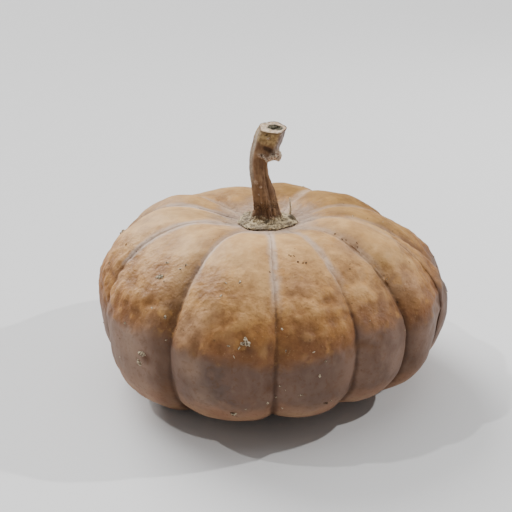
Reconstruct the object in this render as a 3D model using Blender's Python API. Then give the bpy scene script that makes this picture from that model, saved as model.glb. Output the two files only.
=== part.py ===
"""A whole ribbed pumpkin, flattened and uneven, lying on its blossom end, with its dry stalk.

Metres, +Z up. The origin lies on the resting plane, under the middle of the pumpkin's box.
Bearings are in degrees, counter-clockwise from +X seen from above, and -Y is the front.
"""

import math
from collections import namedtuple

import bmesh
import bpy
import numpy as np

# The fruit without its ribs: a flattened round body with a dimple at each end
HALF_WIDTH = 0.150
CROWN_RISE = 0.086
BELLY_DROP = 0.081
BELLY_FULLNESS = 2.9
DIMPLE_DEPTH = 0.031
DIMPLE_RADIUS = 0.056
BLOSSOM_DEPTH = 0.015
BLOSSOM_RADIUS = 0.050
GIRTH_HEIGHT = 0.0765
SEAT_RADIUS = 0.026
FRUIT_AXIS = (-0.0056, 0.0007)

# How round a lobe is between its furrows (nearer 1 is rounder, with a tighter crease), and how many
# degrees wide it has to be to stand out fully
LOBE_ROUNDNESS = 0.94
FULL_LOBE_DEGREES = 18.0

# Places along the meridian, from the blossom end, 0, to the stalk's seat, 1: the girth, how far from
# it the values for the shoulder and the belly hold in full, where the lobes begin to stand out over
# the underside and reach their full height, and how far below the seat they have sunk to nothing
GIRTH_PLACE = 0.5
BLEND_REACH = 0.3
UNDERSIDE_START = 0.06
UNDERSIDE_END = 0.26
SEAT_REACH = 0.2
FURROW_BLUNTNESS = 0.8

# Each furrow: its bearing at the girth, how far it turns from the blossom end to the stalk, and its
# depth on the shoulder and on the belly
Furrow = namedtuple("Furrow", "bearing turn shoulder belly")
FURROWS = (
    Furrow(138, 13, 0.007, 0.007),
    Furrow(167, 2, 0.009, 0.009),
    Furrow(205, 2, 0.004, 0.008),
    Furrow(240, 3, 0.009, 0.009),
    Furrow(272, 2, 0.004, 0.007),
    Furrow(297, 3, 0.006, 0.008),
    Furrow(318, 0, 0.010, 0.010),
    Furrow(339, 12, 0.003, 0.005),
    Furrow(355, -12, 0.008, 0.004),
    Furrow(382, -8, 0.008, 0.008),
    Furrow(420, 0, 0.009, 0.009),
    Furrow(455, 8, 0.009, 0.009),
)

# Each lobe, counter-clockwise from the furrow of the same place above: how far it stands out of the
# plain body on the shoulder, at the girth and on the belly
Lobe = namedtuple("Lobe", "shoulder girth belly")
LOBES = (
    Lobe(0.005, -0.003, 0.005),
    Lobe(0.004, -0.004, -0.001),
    Lobe(-0.002, 0.000, 0.008),
    Lobe(0.002, 0.002, 0.001),
    Lobe(-0.004, -0.002, -0.003),
    Lobe(-0.006, -0.001, -0.005),
    Lobe(0.001, 0.004, 0.003),
    Lobe(0.000, 0.009, 0.003),
    Lobe(0.000, 0.008, 0.006),
    Lobe(0.002, -0.001, 0.005),
    Lobe(0.003, 0.000, 0.005),
    Lobe(0.000, 0.000, 0.006),
)

# The fruit's mesh, whose first row closes the blossom end
FACES_PER_LOBE = 8
FRUIT_ROWS = 34
FIRST_ROW = 0.01
SHARP_DEGREES = 50.0

# The stalk's corky foot: radius and height over the seat, from its underside to where the stalk
# leaves it. It lies on the seat with a hair's gap.
SEAT_GAP = 0.0003
Flare = namedtuple("Flare", "radius height")
FOOT = (
    Flare(0.0235, SEAT_GAP),
    Flare(0.0250, 0.0014),
    Flare(0.0215, 0.0026),
    Flare(0.0165, 0.0034),
    Flare(0.0130, 0.0058),
    Flare(0.0112, 0.0090),
)
FOOT_RAGGEDNESS = 0.05
Wave = namedtuple("Wave", "count share start")
FOOT_WAVES = (Wave(3, 1.0, 0.6), Wave(7, 0.6, 2.0))

# The stalk's bent shaft: the middle of each station from the fruit's axis, its height over the seat
# and its radius. Its ridges turn by RIDGE_TURN radians for each metre. CUT_FACES is how far the cut
# end leans from +Z, along X and Y, and the last stations turn towards it.
Station = namedtuple("Station", "x y height radius")
SHAFT = (
    Station(-0.0006, 0.0000, 0.013, 0.0100),
    Station(-0.0021, 0.0000, 0.024, 0.0094),
    Station(-0.0040, 0.0000, 0.033, 0.0086),
    Station(-0.0056, 0.0000, 0.042, 0.0080),
    Station(-0.0064, 0.0000, 0.052, 0.0080),
    Station(-0.0046, -0.0002, 0.060, 0.0092),
    Station(-0.0006, -0.0006, 0.068, 0.0112),
    Station(0.0024, -0.0012, 0.076, 0.0116),
    Station(0.0048, -0.0020, 0.082, 0.0112),
)
RINGS_PER_STATION = 3
LEAN_STEP = 0.1
STALK_SIDES = 24
RIDGE_WAVES = (Wave(5, 1.0, 0.0), Wave(2, 0.5, 1.0))
RIDGE_SHARE = 0.06
RIDGE_TURN = 14.0
CUT_FACES = (0.05, -0.22)
CUT_STATIONS = 2

# The torn scar of a side shoot: where it is on the shaft, how far it stands out, and its reach
SCAR_HEIGHT = 0.0650
SCAR_BEARING = -22.0
SCAR_RISE = 0.0060
SCAR_HALF_HEIGHT = 0.0060
SCAR_HALF_DEGREES = 34.0

# The knob on the foot's rim, to the right of the stalk
KNOB_BEARING = 6.0
KNOB_RISE = 0.0038
KNOB_HALF_DEGREES = 11.0
KNOB_RADIUS = 0.0215
KNOB_REACH = 0.0040

# The cut end: how far in its worn edge reaches, as a share of the radius, and how far it rises, then
# its hollow's share of the radius at the mouth and at the floor, its depth, and how far it is off centre
RIM_SHARE = 0.90
RIM_RISE = 0.0004
MOUTH_SHARE = 0.42
FLOOR_SHARE = 0.25
HOLLOW_DEPTH = 0.0035
HOLLOW_OFFSET = (0.0020, 0.0015)

RIND_COLOUR = (0.36, 0.22, 0.13, 1.0)
RIND_ROUGHNESS = 0.5
STALK_COLOUR = (0.16, 0.085, 0.045, 1.0)
STALK_ROUGHNESS = 0.75


def clear_scene():
    for obj in list(bpy.data.objects):
        bpy.data.objects.remove(obj, do_unlink=True)


def plain_material(name, colour, roughness):
    material = bpy.data.materials.new(name)
    material.use_nodes = True
    shader = material.node_tree.nodes["Principled BSDF"]
    shader.inputs["Base Color"].default_value = colour
    shader.inputs["Roughness"].default_value = roughness
    shader.inputs["Metallic"].default_value = 0.0
    return material


def ease(x):
    """0 to 1 with level ends, for x from 0 to 1."""
    x = np.clip(x, 0.0, 1.0)
    return x * x * (3.0 - 2.0 * x)


def bump(x):
    """1 in the middle, falling evenly to 0 at x = 1 and x = -1."""
    return ease(1.0 - np.abs(x))


def body_profile(t):
    """Radius and height of the unribbed body, from the blossom end, t = 0, to the stalk's seat, t = 1."""
    turn = -0.5 * math.pi + t * (math.pi - math.asin(SEAT_RADIUS / HALF_WIDTH))
    upper = turn >= 0.0
    fullness = np.where(upper, 2.0, BELLY_FULLNESS)
    tall = np.where(upper, CROWN_RISE, BELLY_DROP) / HALF_WIDTH
    across, along = np.cos(turn), np.abs(np.sin(turn)) * tall
    length = np.hypot(across, along)
    across, along = across / length, along / length
    reach = HALF_WIDTH * (across**fullness + (along / tall) ** fullness) ** (-1.0 / fullness)
    radius = reach * across
    height = reach * along
    dimple = DIMPLE_DEPTH * np.exp(-((radius / DIMPLE_RADIUS) ** 2))
    blossom = BLOSSOM_DEPTH * np.exp(-((radius / BLOSSOM_RADIUS) ** 2))
    return radius, np.where(upper, height - dimple, blossom - height)


def profile_normal(t):
    """The outward direction of the profile at t, as its radial and its upward part."""
    step = 1e-3
    low_radius, low_height = body_profile(np.clip(t - step, 0.0, 1.0))
    high_radius, high_height = body_profile(np.clip(t + step, 0.0, 1.0))
    run, rise = high_radius - low_radius, high_height - low_height
    length = np.hypot(run, rise)
    return rise / length, -run / length


def swell(lobe, t):
    """How far the middle of a lobe stands out of the plain body at t."""
    shoulder = ease((t - GIRTH_PLACE) / BLEND_REACH)
    belly = ease((GIRTH_PLACE - t) / BLEND_REACH)
    out = lobe.shoulder * shoulder + lobe.girth * (1.0 - shoulder - belly) + lobe.belly * belly
    over_underside = ease((t - UNDERSIDE_START) / (UNDERSIDE_END - UNDERSIDE_START))
    return out * over_underside * ease((1.0 - t) / SEAT_REACH)


def furrow_offset(index, t):
    """How far the bottom of a furrow lies outside the plain body at t, and its bearing in degrees."""
    furrow = FURROWS[index % len(FURROWS)]
    beside = 0.5 * (swell(LOBES[index % len(LOBES)], t) + swell(LOBES[index - 1], t))
    upper = ease(0.5 + (t - GIRTH_PLACE) / (2.0 * BLEND_REACH))
    depth = furrow.belly + (furrow.shoulder - furrow.belly) * upper
    full_turn = 360.0 if index == len(FURROWS) else 0.0
    bearing = furrow.bearing + full_turn + furrow.turn * (t - GIRTH_PLACE)
    return beside - depth * np.sin(math.pi * t) ** FURROW_BLUNTNESS, bearing


def lobe_section(across):
    """The rounded shape of a lobe between its furrows: 1 in the middle, 0 at across = -1 and 1."""
    edge = math.sqrt(1.0 - LOBE_ROUNDNESS**2)
    return (np.sqrt(1.0 - (LOBE_ROUNDNESS * across) ** 2) - edge) / (1.0 - edge)


def rind_points(t, index, across):
    """Points of the rind at t along the meridian and across one lobe from -1 to 1."""
    near, near_bearing = furrow_offset(index, t)
    far, far_bearing = furrow_offset(index + 1, t)
    share = 0.5 * (across + 1.0)
    fullness = lobe_section(across) * ease((far_bearing - near_bearing) / FULL_LOBE_DEGREES)
    offset = (near + (far - near) * share) * (1.0 - fullness) + swell(LOBES[index], t) * fullness
    radius, height = body_profile(t)
    outward, upward = profile_normal(t)
    radius = radius + offset * outward
    height = height + offset * upward + GIRTH_HEIGHT
    bearing = np.radians(near_bearing + (far_bearing - near_bearing) * share)
    x = FRUIT_AXIS[0] + radius * np.cos(bearing)
    y = FRUIT_AXIS[1] + radius * np.sin(bearing)
    return np.stack([x, y, np.maximum(height, 0.0)], axis=-1)


def mesh_of_rings(name, rings, material):
    """A closed smooth-shaded body from rings of points, bottom to top, capped flat at both ends."""
    bm = bmesh.new()
    rows = [[bm.verts.new(point) for point in ring] for ring in rings]
    for low, high in zip(rows, rows[1:]):
        for side in range(len(low)):
            after = (side + 1) % len(low)
            bm.faces.new((low[side], low[after], high[after], high[side]))
    bm.faces.new(list(reversed(rows[0])))
    bm.faces.new(rows[-1])
    mesh = bpy.data.meshes.new(name)
    bm.to_mesh(mesh)
    bm.free()
    mesh.materials.append(material)
    mesh.shade_smooth()
    mesh.set_sharp_from_angle(angle=math.radians(SHARP_DEGREES))
    body = bpy.data.objects.new(name, mesh)
    bpy.context.scene.collection.objects.link(body)
    return body


def make_fruit():
    levels = np.linspace(FIRST_ROW, 1.0, FRUIT_ROWS)
    across = np.sin(0.5 * math.pi * np.linspace(-1.0, 1.0, FACES_PER_LOBE + 1)[:-1])
    rings = []
    for t in levels:
        level = np.full(across.shape, t)
        rings.append(np.concatenate([rind_points(level, lobe, across) for lobe in range(len(LOBES))]))
    material = plain_material("rind", RIND_COLOUR, RIND_ROUGHNESS)
    return mesh_of_rings("pumpkin_body", rings, material)


def curve_through(values, position):
    """A smooth curve through evenly spaced values, read at a position counted in values."""
    first = min(int(position), len(values) - 2)
    share = position - first
    before, start = values[max(first - 1, 0)], values[first]
    end, after = values[first + 1], values[min(first + 2, len(values) - 1)]
    leave, arrive = 0.5 * (end - before), 0.5 * (after - start)
    return (
        start
        + leave * share
        + (3.0 * (end - start) - 2.0 * leave - arrive) * share**2
        + (2.0 * (start - end) + leave + arrive) * share**3
    )


def ring_around(centre, lean, radii, bearings):
    """A ring of points round a centre, in the plane square to a direction that leans from +Z."""
    upward = np.array([lean[0], lean[1], 1.0])
    upward /= np.linalg.norm(upward)
    right = np.array([1.0, 0.0, 0.0]) - upward * upward[0]
    right /= np.linalg.norm(right)
    back = np.cross(upward, right)
    return centre + radii[:, None] * (
        np.cos(bearings)[:, None] * right + np.sin(bearings)[:, None] * back
    )


def waved(waves, bearings):
    """The sum of a set of waves round the stalk."""
    return sum(wave.share * np.cos(wave.count * bearings + wave.start) for wave in waves)


def ridged(radius, height, bearings, share):
    """A radius with the stalk's lengthwise ridges."""
    return radius * (1.0 + share * waved(RIDGE_WAVES, bearings + RIDGE_TURN * height))


def degrees_from(bearings, middle):
    """How far each bearing is from a middle one, in degrees from -180 to 180."""
    return (np.degrees(bearings) - middle + 180.0) % 360.0 - 180.0


def scar_rise(height, bearings):
    """How far the torn scar of the side shoot stands out of the shaft."""
    across = bump(degrees_from(bearings, SCAR_BEARING) / SCAR_HALF_DEGREES)
    return SCAR_RISE * across * bump((height - SCAR_HEIGHT) / SCAR_HALF_HEIGHT)


def foot_rings(seat, bearings):
    """The corky foot's rings, with its ragged rim and the knob on it, above its flat underside."""
    rings = []
    for flare in FOOT:
        outer = (flare.radius - FOOT[-1].radius) / (FOOT[1].radius - FOOT[-1].radius)
        radii = flare.radius * (1.0 + FOOT_RAGGEDNESS * outer * waved(FOOT_WAVES, bearings))
        radii = ridged(radii, flare.height, bearings, RIDGE_SHARE * (1.0 - outer))
        ring = ring_around(seat + np.array([0.0, 0.0, flare.height]), (0.0, 0.0), radii, bearings)
        if flare is not FOOT[0]:
            near = bump(degrees_from(bearings, KNOB_BEARING) / KNOB_HALF_DEGREES)
            ring[:, 2] += KNOB_RISE * near * bump((flare.radius - KNOB_RADIUS) / KNOB_REACH)
        rings.append(ring)
    return rings


def shaft_rings(seat, bearings):
    """The shaft's rings, each square to its curve until the last ones turn to the cut end's plane."""
    stations = np.array(SHAFT)
    last = len(SHAFT) - 1
    rings = []
    for step in range(last * RINGS_PER_STATION + 1):
        position = step / RINGS_PER_STATION
        x, y, height, radius = curve_through(stations, position)
        ahead = curve_through(stations, min(position + LEAN_STEP, last))
        behind = curve_through(stations, max(position - LEAN_STEP, 0.0))
        lean = (ahead - behind)[:2] / (ahead - behind)[2]
        lean = lean + (np.array(CUT_FACES) - lean) * ease(1.0 - (last - position) / CUT_STATIONS)
        radii = ridged(radius, height, bearings, RIDGE_SHARE) + scar_rise(height, bearings)
        rings.append(ring_around(seat + np.array([x, y, height]), lean, radii, bearings))
    return rings


def cut_rings(rim, bearings):
    """The cut end, from just inside its rim down into its hollow."""
    centre = rim.mean(axis=0)
    radius = np.linalg.norm(rim - centre, axis=1).mean()
    upward = np.array([CUT_FACES[0], CUT_FACES[1], 1.0])
    upward /= np.linalg.norm(upward)
    mouth_centre = centre + np.array([HOLLOW_OFFSET[0], HOLLOW_OFFSET[1], 0.0])
    floor_centre = mouth_centre - upward * HOLLOW_DEPTH
    mouth = np.full(bearings.shape, radius * MOUTH_SHARE)
    floor = np.full(bearings.shape, radius * FLOOR_SHARE)
    return [
        centre + (rim - centre) * RIM_SHARE + upward * RIM_RISE,
        ring_around(mouth_centre, CUT_FACES, mouth, bearings),
        ring_around(floor_centre, CUT_FACES, floor, bearings),
    ]


def make_stalk():
    seat_height = float(body_profile(np.array([1.0]))[1][0]) + GIRTH_HEIGHT
    seat = np.array([FRUIT_AXIS[0], FRUIT_AXIS[1], seat_height])
    bearings = np.linspace(0.0, 2.0 * math.pi, STALK_SIDES + 1)[:-1]
    rings = foot_rings(seat, bearings) + shaft_rings(seat, bearings)
    rings += cut_rings(rings[-1], bearings)
    material = plain_material("stalk", STALK_COLOUR, STALK_ROUGHNESS)
    return mesh_of_rings("pumpkin_stem", rings, material)


def main():
    clear_scene()
    make_fruit()
    make_stalk()


main()
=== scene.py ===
"""The looks of a ribbed pumpkin: its rind, its dry stalk, the crusts on both, the floor, light and camera.

Metres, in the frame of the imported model, with -Y towards the side that the photograph shows. The fruit
and the stalk follow the values of the solids that they replace. Their finer relief is carved inwards,
so the looks stay inside the solids' box.
"""

import math
import random
from collections import namedtuple

import bpy
import numpy as np
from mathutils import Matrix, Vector, noise
from mathutils.bvhtree import BVHTree


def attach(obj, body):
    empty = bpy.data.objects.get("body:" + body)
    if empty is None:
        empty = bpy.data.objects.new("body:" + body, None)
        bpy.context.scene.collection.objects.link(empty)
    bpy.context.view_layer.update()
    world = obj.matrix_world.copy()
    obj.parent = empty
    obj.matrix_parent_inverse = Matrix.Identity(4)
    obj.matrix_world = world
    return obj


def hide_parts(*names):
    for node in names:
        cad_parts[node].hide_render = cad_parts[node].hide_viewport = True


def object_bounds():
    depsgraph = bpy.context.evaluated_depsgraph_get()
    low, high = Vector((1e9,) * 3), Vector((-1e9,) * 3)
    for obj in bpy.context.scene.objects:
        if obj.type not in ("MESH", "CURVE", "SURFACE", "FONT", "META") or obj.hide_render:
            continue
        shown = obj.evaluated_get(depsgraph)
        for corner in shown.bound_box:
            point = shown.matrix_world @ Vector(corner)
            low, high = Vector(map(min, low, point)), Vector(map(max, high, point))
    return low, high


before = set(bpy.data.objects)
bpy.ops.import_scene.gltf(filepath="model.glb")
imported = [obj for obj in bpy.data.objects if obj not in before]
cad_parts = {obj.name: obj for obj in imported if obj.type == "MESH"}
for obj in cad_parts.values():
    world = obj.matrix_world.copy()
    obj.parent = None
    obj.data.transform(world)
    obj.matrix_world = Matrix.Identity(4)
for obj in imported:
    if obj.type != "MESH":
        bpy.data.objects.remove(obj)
cad_box = [list(corner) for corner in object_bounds()]

# The camera: its distance from the point that it looks at, its angle down, and the photograph's size
TARGET = (-0.0145, 0.0007, 0.1041)
CAMERA_DISTANCE = 0.625
CAMERA_DOWN = math.radians(22.0)
LENS = 50.0
SENSOR = 36.0
PHOTO_PIXELS = 512

# The lights: bearings, heights over the horizon and spreads in degrees, and the side lamp's distance and
# size in metres and its power in watts
FarLight = namedtuple("FarLight", "bearing height strength spread")
FAR_LIGHTS = {
    "left": FarLight(174.9, 53.4, 1.05, 1.5),
    "behind": FarLight(128.0, 38.0, 5.0, 40.0),
    "above": FarLight(90.0, 80.0, 1.2, 60.0),
}
DOME = 0.33
SIDE_LAMP_BEARING = 7.2
SIDE_LAMP_HEIGHT = 39.5
SIDE_LAMP_DISTANCE = 2.5
SIDE_LAMP_POWER = 160.0
SIDE_LAMP_RADIUS = 0.03
FLOOR_TONE = 0.62

# The fruit without its ribs
HALF_WIDTH = 0.150
CROWN_RISE = 0.086
BELLY_DROP = 0.081
BELLY_FULLNESS = 2.9
DIMPLE_DEPTH = 0.031
DIMPLE_RADIUS = 0.056
BLOSSOM_DEPTH = 0.015
BLOSSOM_RADIUS = 0.050
GIRTH_HEIGHT = 0.0765
SEAT_RADIUS = 0.026
FRUIT_AXIS = (-0.0056, 0.0007)
LOBE_ROUNDNESS = 0.94
FULL_LOBE_DEGREES = 18.0
GIRTH_PLACE = 0.5
BLEND_REACH = 0.3
UNDERSIDE_START = 0.06
UNDERSIDE_END = 0.26
SEAT_REACH = 0.2
FURROW_BLUNTNESS = 0.8

# Each furrow's bearing in degrees, its turn from the blossom end to the stalk, and its depths
Furrow = namedtuple("Furrow", "bearing turn shoulder belly")
FURROWS = (
    Furrow(138, 13, 0.007, 0.007),
    Furrow(167, 2, 0.009, 0.009),
    Furrow(205, 2, 0.004, 0.008),
    Furrow(240, 3, 0.009, 0.009),
    Furrow(272, 2, 0.004, 0.007),
    Furrow(297, 3, 0.006, 0.008),
    Furrow(318, 0, 0.010, 0.010),
    Furrow(339, 12, 0.003, 0.005),
    Furrow(355, -12, 0.008, 0.004),
    Furrow(382, -8, 0.008, 0.008),
    Furrow(420, 0, 0.009, 0.009),
    Furrow(455, 8, 0.009, 0.009),
)

# How far each lobe stands out of the plain body on the shoulder, at the girth and on the belly
Lobe = namedtuple("Lobe", "shoulder girth belly")
LOBES = (
    Lobe(0.005, -0.003, 0.005),
    Lobe(0.004, -0.004, -0.001),
    Lobe(-0.002, 0.000, 0.008),
    Lobe(0.002, 0.002, 0.001),
    Lobe(-0.004, -0.002, -0.003),
    Lobe(-0.006, -0.001, -0.005),
    Lobe(0.001, 0.004, 0.003),
    Lobe(0.000, 0.009, 0.003),
    Lobe(0.000, 0.008, 0.006),
    Lobe(0.002, -0.001, 0.005),
    Lobe(0.003, 0.000, 0.005),
    Lobe(0.000, 0.000, 0.006),
)

# The fine rind's mesh, and its relief: a depth and a size across in metres, a seed, and the share of the
# depth that is left where the rind is calm
COLUMNS_PER_LOBE = 40
EVEN_COLUMNS = 0.35
RIND_ROWS = 200
FIRST_ROW = 0.01
FURROW_ROUNDING = 0.0013
MOST_ROUNDING = 0.3
Relief = namedtuple("Relief", "depth size seed calm", defaults=(1.0,))
SWELLS = Relief(0.0030, 0.045, 1.0)
DENTS = Relief(0.0034, 0.017, 2.0, 0.45)
LUMPS = Relief(0.0036, 0.0085, 3.0, 0.12)
KNOBBLES = Relief(0.0016, 0.0048, 4.0, 0.10)
PATCHES = Relief(1.0, 0.040, 6.0)
WRINKLES = Relief(0.0014, 0.0075, 5.0)
DRYING = 0.0006
HOLLOW_RANGE = 0.0040
BOX_MARGIN = 0.00005
LUMPY_FROM = 0.070
LUMPY_FROM_FADE = 0.02
LUMPY_TO = 0.150
LUMPY_TO_FADE = 0.045
LUMPY_SHARE = 0.75
LUMPY_PATCHES = 1.1
LUMPY_LIMITS = (0.25, 1.2)
PINCH_DEPTH = 0.0005
PINCH_REACH = 0.0010
PINCH_TOP = 0.150
PINCH_FADE = 0.02
WRINKLE_REACH = 0.024
WRINKLES_FROM = 0.7
WRINKLE_TURNS = 0.035
WRINKLE_STRETCH = 0.3
SIDE_FOLD_LOBE = 2
SIDE_FOLD_ACROSS = -0.50
SIDE_FOLD_WIDTH = 0.12
SIDE_FOLD_DEPTH = 0.0020
SIDE_FOLD_LOW = 0.14
SIDE_FOLD_HIGH = 0.52
SEAT_FADE = 0.02
UNDERSIDE_FADE = 0.010
GREY_WIDTH = 0.85

# Each lobe's looks: the height under which it is dusky at its two furrows, with painted shade below it,
# how grey its middle is there, or how much paler under 0, how golden its shoulder is, and how dark the
# painted shade on its two flanks is in the furrows
Look = namedtuple("Look", "near far grey gold near_shade far_shade")
LOOKS = (
    Look(0.106, 0.072, 0.5, 0.4, 0.5, 0.7),
    Look(0.082, 0.074, -0.3, 0.0, 0.4, 0.7),
    Look(0.086, 0.092, -0.35, 0.10, 0.2, 0.8),
    Look(0.088, 0.077, 1.0, 0.05, 0.2, 0.5),
    Look(0.078, 0.089, 0.5, 0.0, 0.5, 0.4),
    Look(0.100, 0.097, 0.3, 0.0, 0.3, 0.5),
    Look(0.086, 0.094, 0.3, 0.25, 0.35, 0.6),
    Look(0.100, 0.110, 0.9, 0.4, 0.7, 0.5),
    Look(0.110, 0.092, 0.6, 0.8, 0.5, 0.7),
    Look(0.094, 0.070, 0.7, 1.0, 0.7, 0.5),
    Look(0.078, 0.096, 0.5, 1.0, 0.4, 0.7),
    Look(0.084, 0.102, 0.6, 0.6, 0.6, 0.7),
)
# How strong the pale bloom is in each furrow
BLOOMS = (0.4, 0.8, 0.9, 0.6, 0.7, 0.6, 0.3, 0.2, 0.3, 0.3, 0.4, 0.4)
# Patches of the rind that are paler, or browner under 0, the browner ones partly painted shade along
# the furrows and round the scabs: where the photograph shows each, in pixels, and its half width in metres
TingeAndShade = namedtuple("TingeAndShade", "x y size share")
TINGES_AND_SHADES = [TingeAndShade(*row) for row in (
    (186, 328, 0.022, 0.95), (188, 368, 0.018, 0.85), (202, 398, 0.018, 0.60), (131, 346, 0.022, 0.75),
    (142, 384, 0.018, 0.60), (176, 398, 0.016, 0.50), (208, 316, 0.016, 0.45), (300, 283, 0.018, 0.35),
    (350, 249, 0.018, 0.80), (411, 285, 0.024, 0.55), (391, 285, 0.015, 0.90), (163, 285, 0.018, 0.40),
    (150, 322, 0.015, 0.45), (120, 276, 0.016, 0.50), (214, 283, 0.014, 0.40), (305, 334, 0.020, -0.55),
    (168, 307, 0.010, -0.60), (248, 349, 0.009, -0.90), (144, 357, 0.008, -1.20),
    (382, 309, 0.010, -0.40), (240, 334, 0.012, -0.25), (269, 349, 0.011, -0.90),
    (270, 368, 0.009, -0.60), (269, 388, 0.009, -0.60),
)]

# The stalk's corky foot and its bent shaft
SEAT_GAP = 0.0003
Flare = namedtuple("Flare", "radius height")
FOOT = (
    Flare(0.0235, SEAT_GAP),
    Flare(0.0250, 0.0014),
    Flare(0.0215, 0.0026),
    Flare(0.0165, 0.0034),
    Flare(0.0130, 0.0058),
    Flare(0.0112, 0.0090),
)
FOOT_RAGGEDNESS = 0.05
Wave = namedtuple("Wave", "count share start")
FOOT_WAVES = (Wave(3, 1.0, 0.6), Wave(7, 0.6, 2.0))
Station = namedtuple("Station", "x y height radius")
SHAFT = (
    Station(-0.0006, 0.0000, 0.013, 0.0100),
    Station(-0.0021, 0.0000, 0.024, 0.0094),
    Station(-0.0040, 0.0000, 0.033, 0.0086),
    Station(-0.0056, 0.0000, 0.042, 0.0080),
    Station(-0.0064, 0.0000, 0.052, 0.0080),
    Station(-0.0046, -0.0002, 0.060, 0.0092),
    Station(-0.0006, -0.0006, 0.068, 0.0112),
    Station(0.0024, -0.0012, 0.076, 0.0116),
    Station(0.0048, -0.0020, 0.082, 0.0112),
)
LEAN_STEP = 0.1
RIDGE_WAVES = (Wave(5, 1.0, 0.0), Wave(2, 0.5, 1.0))
RIDGE_SHARE = 0.06
RIDGE_TURN = 14.0
CUT_FACES = (0.05, -0.22)
CUT_STATIONS = 2
SCAR_HEIGHT = 0.0650
SCAR_BEARING = -32.0
SCAR_RISE = 0.0066
SCAR_HALF_HEIGHT = 0.0060
SCAR_HALF_DEGREES = 44.0
KNOB_BEARING = 6.0
KNOB_RISE = 0.0038
KNOB_HALF_DEGREES = 11.0
KNOB_RADIUS = 0.0215
KNOB_REACH = 0.0040
RIM_SHARE = 0.90
RIM_RISE = 0.0004
MOUTH_SHARE = 0.48
MOUTH_WAVES = (Wave(2, 0.16, 0.4), Wave(3, 0.06, 1.0), Wave(7, 0.03, 2.0))
CUT_ROUGHNESS = 0.0008
FLOOR_SHARE = 0.25
HOLLOW_DEPTH = 0.0035
HOLLOW_OFFSET = (0.0020, 0.0015)

# The fine stalk's mesh and its finer relief, with bearings in degrees
STALK_SIDES = 144
RINGS_PER_STATION = 26
RINGS_PER_FLARE = 12
CUT_RINGS = 30
BARK = Relief(0.0005, 0.0060, 11.0)
BARK_GRAIN = Relief(0.0003, 0.0016, 12.0)
CORK = Relief(0.0012, 0.0036, 13.0)
CORK_GRAIN = Relief(0.0010, 0.0015, 14.0)
CRUST = Relief(0.0034, 0.0030, 15.0)
BARK_STRETCH = 0.4
GRAIN_STRETCH = 0.5
CORK_HEIGHT = 0.0075
CORK_FADE = 0.003
Groove = namedtuple("Groove", "bearing turn half depth low high")
GROOVES = (
    Groove(-62.0, 200.0, 9.0, 0.0007, 0.006, 0.056),
    Groove(-112.0, -140.0, 7.0, 0.0004, 0.004, 0.030),
    Groove(-24.0, 160.0, 9.0, 0.0004, 0.005, 0.046),
    Groove(60.0, -150.0, 13.0, 0.0010, 0.006, 0.066),
    Groove(120.0, 120.0, 13.0, 0.0010, 0.006, 0.066),
)
GROOVE_FADE = 0.010
FIBRES = Wave(26, 0.0005, 0.0)
FIBRE_WANDER = 1.6
FIBRE_LOW = 0.0045
FIBRE_TOP = 0.020
FIBRE_FADE = 0.008
LIP_HEIGHT = 0.0606
LIP_BEARING = -72.0
LIP_HALF_DEGREES = 54.0
LIP_RISE = 0.0032
LIP_HALF_HEIGHT = 0.0032
TEAR_BEARING = -78.0
TEAR_HALF_DEGREES = 42.0
TEAR_HEIGHT = 0.0672
TEAR_HALF_HEIGHT = 0.0028
TEAR_DEPTH = 0.0022
Wart = namedtuple("Wart", "bearing height size rise")
WARTS = (
    Wart(-117.0, 0.0375, 0.0030, 0.0010),
    Wart(-97.0, 0.0335, 0.0018, 0.0007),
    Wart(-118.0, 0.0270, 0.0016, 0.0006),
    Wart(-98.0, 0.0765, 0.0022, 0.0010),
    Wart(-106.0, 0.0200, 0.0013, 0.0005),
    Wart(40.0, 0.0300, 0.0020, 0.0008),
    Wart(95.0, 0.0440, 0.0022, 0.0008),
)
PIT = Wart(-112.0, 0.0795, 0.0016, -0.0012)
STREAK_BEARING = -160.0
STREAK_HALF_DEGREES = 36.0
STREAK_LOW = 0.036
STREAK_HIGH = 0.080
STREAK_FADE = 0.016
STREAK_STRETCH = 0.3

# The scabs on the rind: where the photograph shows each, in pixels, and its half width in metres
Scab = namedtuple("Scab", "x y size")
SCABS = [Scab(*row) for row in (
    (167, 263, 0.0023), (180, 269, 0.0016), (186, 265, 0.0014), (160, 277, 0.0037), (240, 282, 0.0018),
    (226, 283, 0.0014), (221, 296, 0.0016), (165, 317, 0.0016), (152, 308, 0.0012), (125, 323, 0.0014),
    (142, 354, 0.0041), (139, 362, 0.0030), (120, 357, 0.0014), (246, 342, 0.0036), (239, 348, 0.0021),
    (234, 357, 0.0014), (229, 346, 0.0013), (233, 413, 0.0033), (246, 409, 0.0010), (268, 403, 0.0014),
    (166, 340, 0.0012), (387, 279, 0.0010), (326, 361, 0.0016), (286, 351, 0.0012), (280, 386, 0.0013),
    (285, 390, 0.0010), (276, 397, 0.0012), (282, 408, 0.0016), (331, 401, 0.0013), (369, 380, 0.0010),
    (370, 321, 0.0010), (282, 329, 0.0012), (405, 330, 0.0010), (314, 352, 0.0013), (320, 376, 0.0018),
    (301, 395, 0.0020), (353, 216, 0.0010), (383, 222, 0.0010), (248, 343, 0.0026), (164, 281, 0.0016),
    (243, 344, 0.0024),
)]
DARK_CRUMBS = [Scab(*row) for row in (
    (289, 255, 0.0009), (294, 256, 0.0010), (298, 262, 0.0008), (306, 263, 0.0009), (335, 234, 0.0008),
    (342, 239, 0.0009), (346, 240, 0.0008), (357, 243, 0.0009), (409, 262, 0.0009), (270, 272, 0.0007),
    (350, 264, 0.0007), (350, 269, 0.0007), (326, 403, 0.0018), (291, 256, 0.0007), (303, 263, 0.0007),
)]
CRUMB_SPREAD = 1.35
SCAB_SIDES = 14
SCAB_RINGS = 5
SCAB_SLENDERNESS = 0.48
SCAB_STRETCH = (0.30, 0.85)
SCAB_TOPS = (0.6, 1.0)
SCAB_RAGGED = 0.75
SCAB_RAGS = 1.7
SCAB_RUGGED = 1.1
SCAB_RUGS = 700.0
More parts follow.
